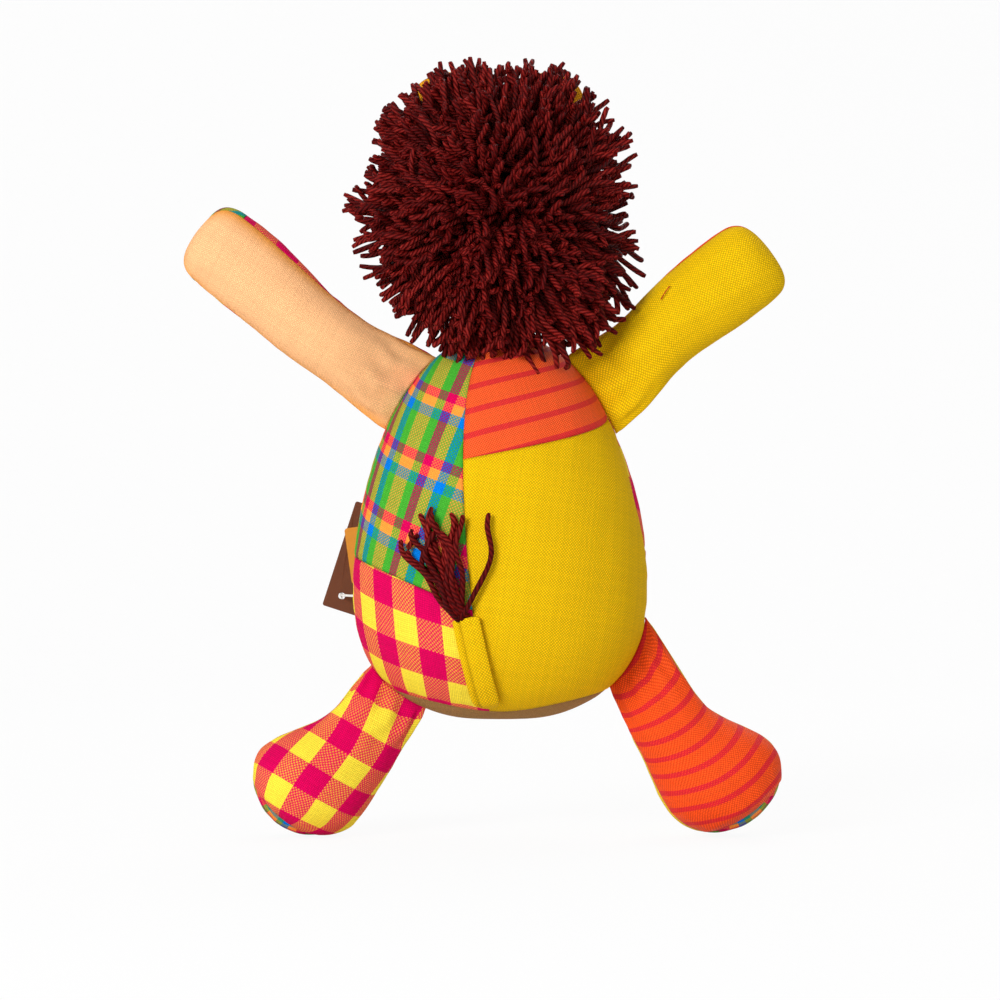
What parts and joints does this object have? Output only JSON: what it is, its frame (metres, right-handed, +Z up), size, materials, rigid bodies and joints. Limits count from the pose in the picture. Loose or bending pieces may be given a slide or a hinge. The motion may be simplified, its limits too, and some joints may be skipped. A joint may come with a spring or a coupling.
{
  "type": "plush lion",
  "caption": "Patchwork cloth lion toy with a yarn pom-pom mane, stuffed egg body, raised arms, booted legs, sewn tail with yarn tuft and a bare swing tag.",
  "frame": {"origin": "middle of the flat seat under the torso", "axes": "+Z up from the seat to the head, +Y the way the lion faces, +X to the right seen from behind"},
  "size_m": [0.2401, 0.1185, 0.3077],
  "materials": {
    "plaid_cloth": "handwoven cotton plaid",
    "gingham_cloth": "handwoven cotton gingham",
    "striped_orange_cloth": "handwoven cotton with thin stripes",
    "orange_cloth": "plain woven cotton",
    "mustard_cloth": "plain woven cotton",
    "rust_cloth": "plain woven cotton",
    "tan_cloth": "plain woven cotton",
    "peach_cloth": "cotton twill",
    "yellow_cloth": "plain woven cotton",
    "golden_cloth": "plain woven cotton",
    "maroon_yarn": "plied wool yarn",
    "stuffing": "polyester fibre",
    "black_felt": "felt",
    "eye_bead": "glossy",
    "brown_card": "uncoated card",
    "orange_card": "uncoated card",
    "tie_plastic": "moulded nylon"
  },
  "bodies": {
    "torso": {"torso_stuffing": "stuffing", "torso_back_left_upper": "plaid_cloth", "torso_back_left_lower": "gingham_cloth", "torso_back_right_upper": "striped_orange_cloth", "torso_back_right_lower": "mustard_cloth", "torso_front_left": "plaid_cloth", "torso_front_right_upper": "gingham_cloth", "torso_front_right_lower": "rust_cloth", "base_panel": "tan_cloth"},
    "neck": {"neck_stuffing": "stuffing"},
    "head": {"head_stuffing": "stuffing", "head_back_panel": "golden_cloth", "head_face_panel": "golden_cloth", "muzzle": "peach_cloth", "nose": "black_felt", "eye_left": "eye_bead", "eye_right": "eye_bead", "mane_yarn_upper_right": "maroon_yarn", "mane_yarn_upper_left": "maroon_yarn", "mane_yarn_lower_left": "maroon_yarn", "mane_yarn_lower_right": "maroon_yarn", "mane_tie": "maroon_yarn"},
    "left_ear": {"ear_left": "golden_cloth"},
    "right_ear": {"ear_right": "golden_cloth"},
    "left_arm": {"arm_left_stuffing": "stuffing", "arm_left_back_panel": "peach_cloth", "arm_left_front_panel": "gingham_cloth", "arm_left_paw_panel": "plaid_cloth"},
    "right_arm": {"arm_right_stuffing": "stuffing", "arm_right_back_panel": "mustard_cloth", "arm_right_front_panel": "orange_cloth"},
    "left_leg": {"leg_left_stuffing": "stuffing", "leg_left_back_panel": "gingham_cloth", "leg_left_front_panel": "gingham_cloth", "leg_left_sole": "plaid_cloth"},
    "right_leg": {"leg_right_stuffing": "stuffing", "leg_right_back_panel": "striped_orange_cloth", "leg_right_front_panel": "yellow_cloth", "leg_right_sole": "plaid_cloth"},
    "tail": {"tail_tube": "mustard_cloth", "tail_tuft": "maroon_yarn"},
    "tag": {"tag_card": "brown_card", "tag_small_card": "orange_card", "tag_fastener": "tie_plastic"}
  },
  "joints": [
    {"name": "neck_turn", "type": "hinge", "parent": "torso", "child": "neck", "pos_m": [0, 0, 0.1522], "axis": [0, 0, 1], "range_deg": [-23, 23], "stiffness_Nm_per_rad": 0.2},
    {"name": "neck_nod", "type": "hinge", "parent": "neck", "child": "head", "pos_m": [0, 0, 0.1522], "axis": [-1, 0, 0], "range_deg": [-4, 25], "stiffness_Nm_per_rad": 0.5},
    {"name": "left_ear_fold", "type": "hinge", "parent": "head", "child": "left_ear", "pos_m": [-0.01975, 0.012, 0.24042], "axis": [-0.9063, 0, -0.4226], "range_deg": [-12, 55], "stiffness_Nm_per_rad": 0.01},
    {"name": "right_ear_fold", "type": "hinge", "parent": "head", "child": "right_ear", "pos_m": [0.01775, 0.012, 0.24042], "axis": [-0.9063, 0, 0.4226], "range_deg": [-12, 55], "stiffness_Nm_per_rad": 0.01},
    {"name": "left_shoulder", "type": "hinge", "parent": "torso", "child": "left_arm", "pos_m": [-0.03956, 0, 0.13286], "axis": [-0.5639, 0, -0.8258], "range_deg": [-36, 60], "stiffness_Nm_per_rad": 0.15},
    {"name": "right_shoulder", "type": "hinge", "parent": "torso", "child": "right_arm", "pos_m": [0.03956, 0, 0.13286], "axis": [-0.5639, 0, 0.8258], "range_deg": [-36, 60], "stiffness_Nm_per_rad": 0.15},
    {"name": "left_hip", "type": "hinge", "parent": "torso", "child": "left_leg", "pos_m": [-0.04453, 0, 0.00928], "axis": [0.7567, 0, -0.6538], "range_deg": [-35, 70], "stiffness_Nm_per_rad": 0.5},
    {"name": "right_hip", "type": "hinge", "parent": "torso", "child": "right_leg", "pos_m": [0.05439, 0, 0.02097], "axis": [0.5126, 0, 0.8586], "range_deg": [-35, 70], "stiffness_Nm_per_rad": 0.5},
    {"name": "tail_lift", "type": "hinge", "parent": "torso", "child": "tail", "pos_m": [-0.004, -0.0275, 0.0044], "axis": [0.9946, -0.1035, 0], "range_deg": [0, 90], "stiffness_Nm_per_rad": 0.008},
    {"name": "tag_swing", "type": "hinge", "parent": "torso", "child": "tag", "pos_m": [-0.0499, 0.0268, 0.0481], "axis": [0, 0, 1], "range_deg": [-5, 40], "stiffness_Nm_per_rad": 0.0004}
  ]
}
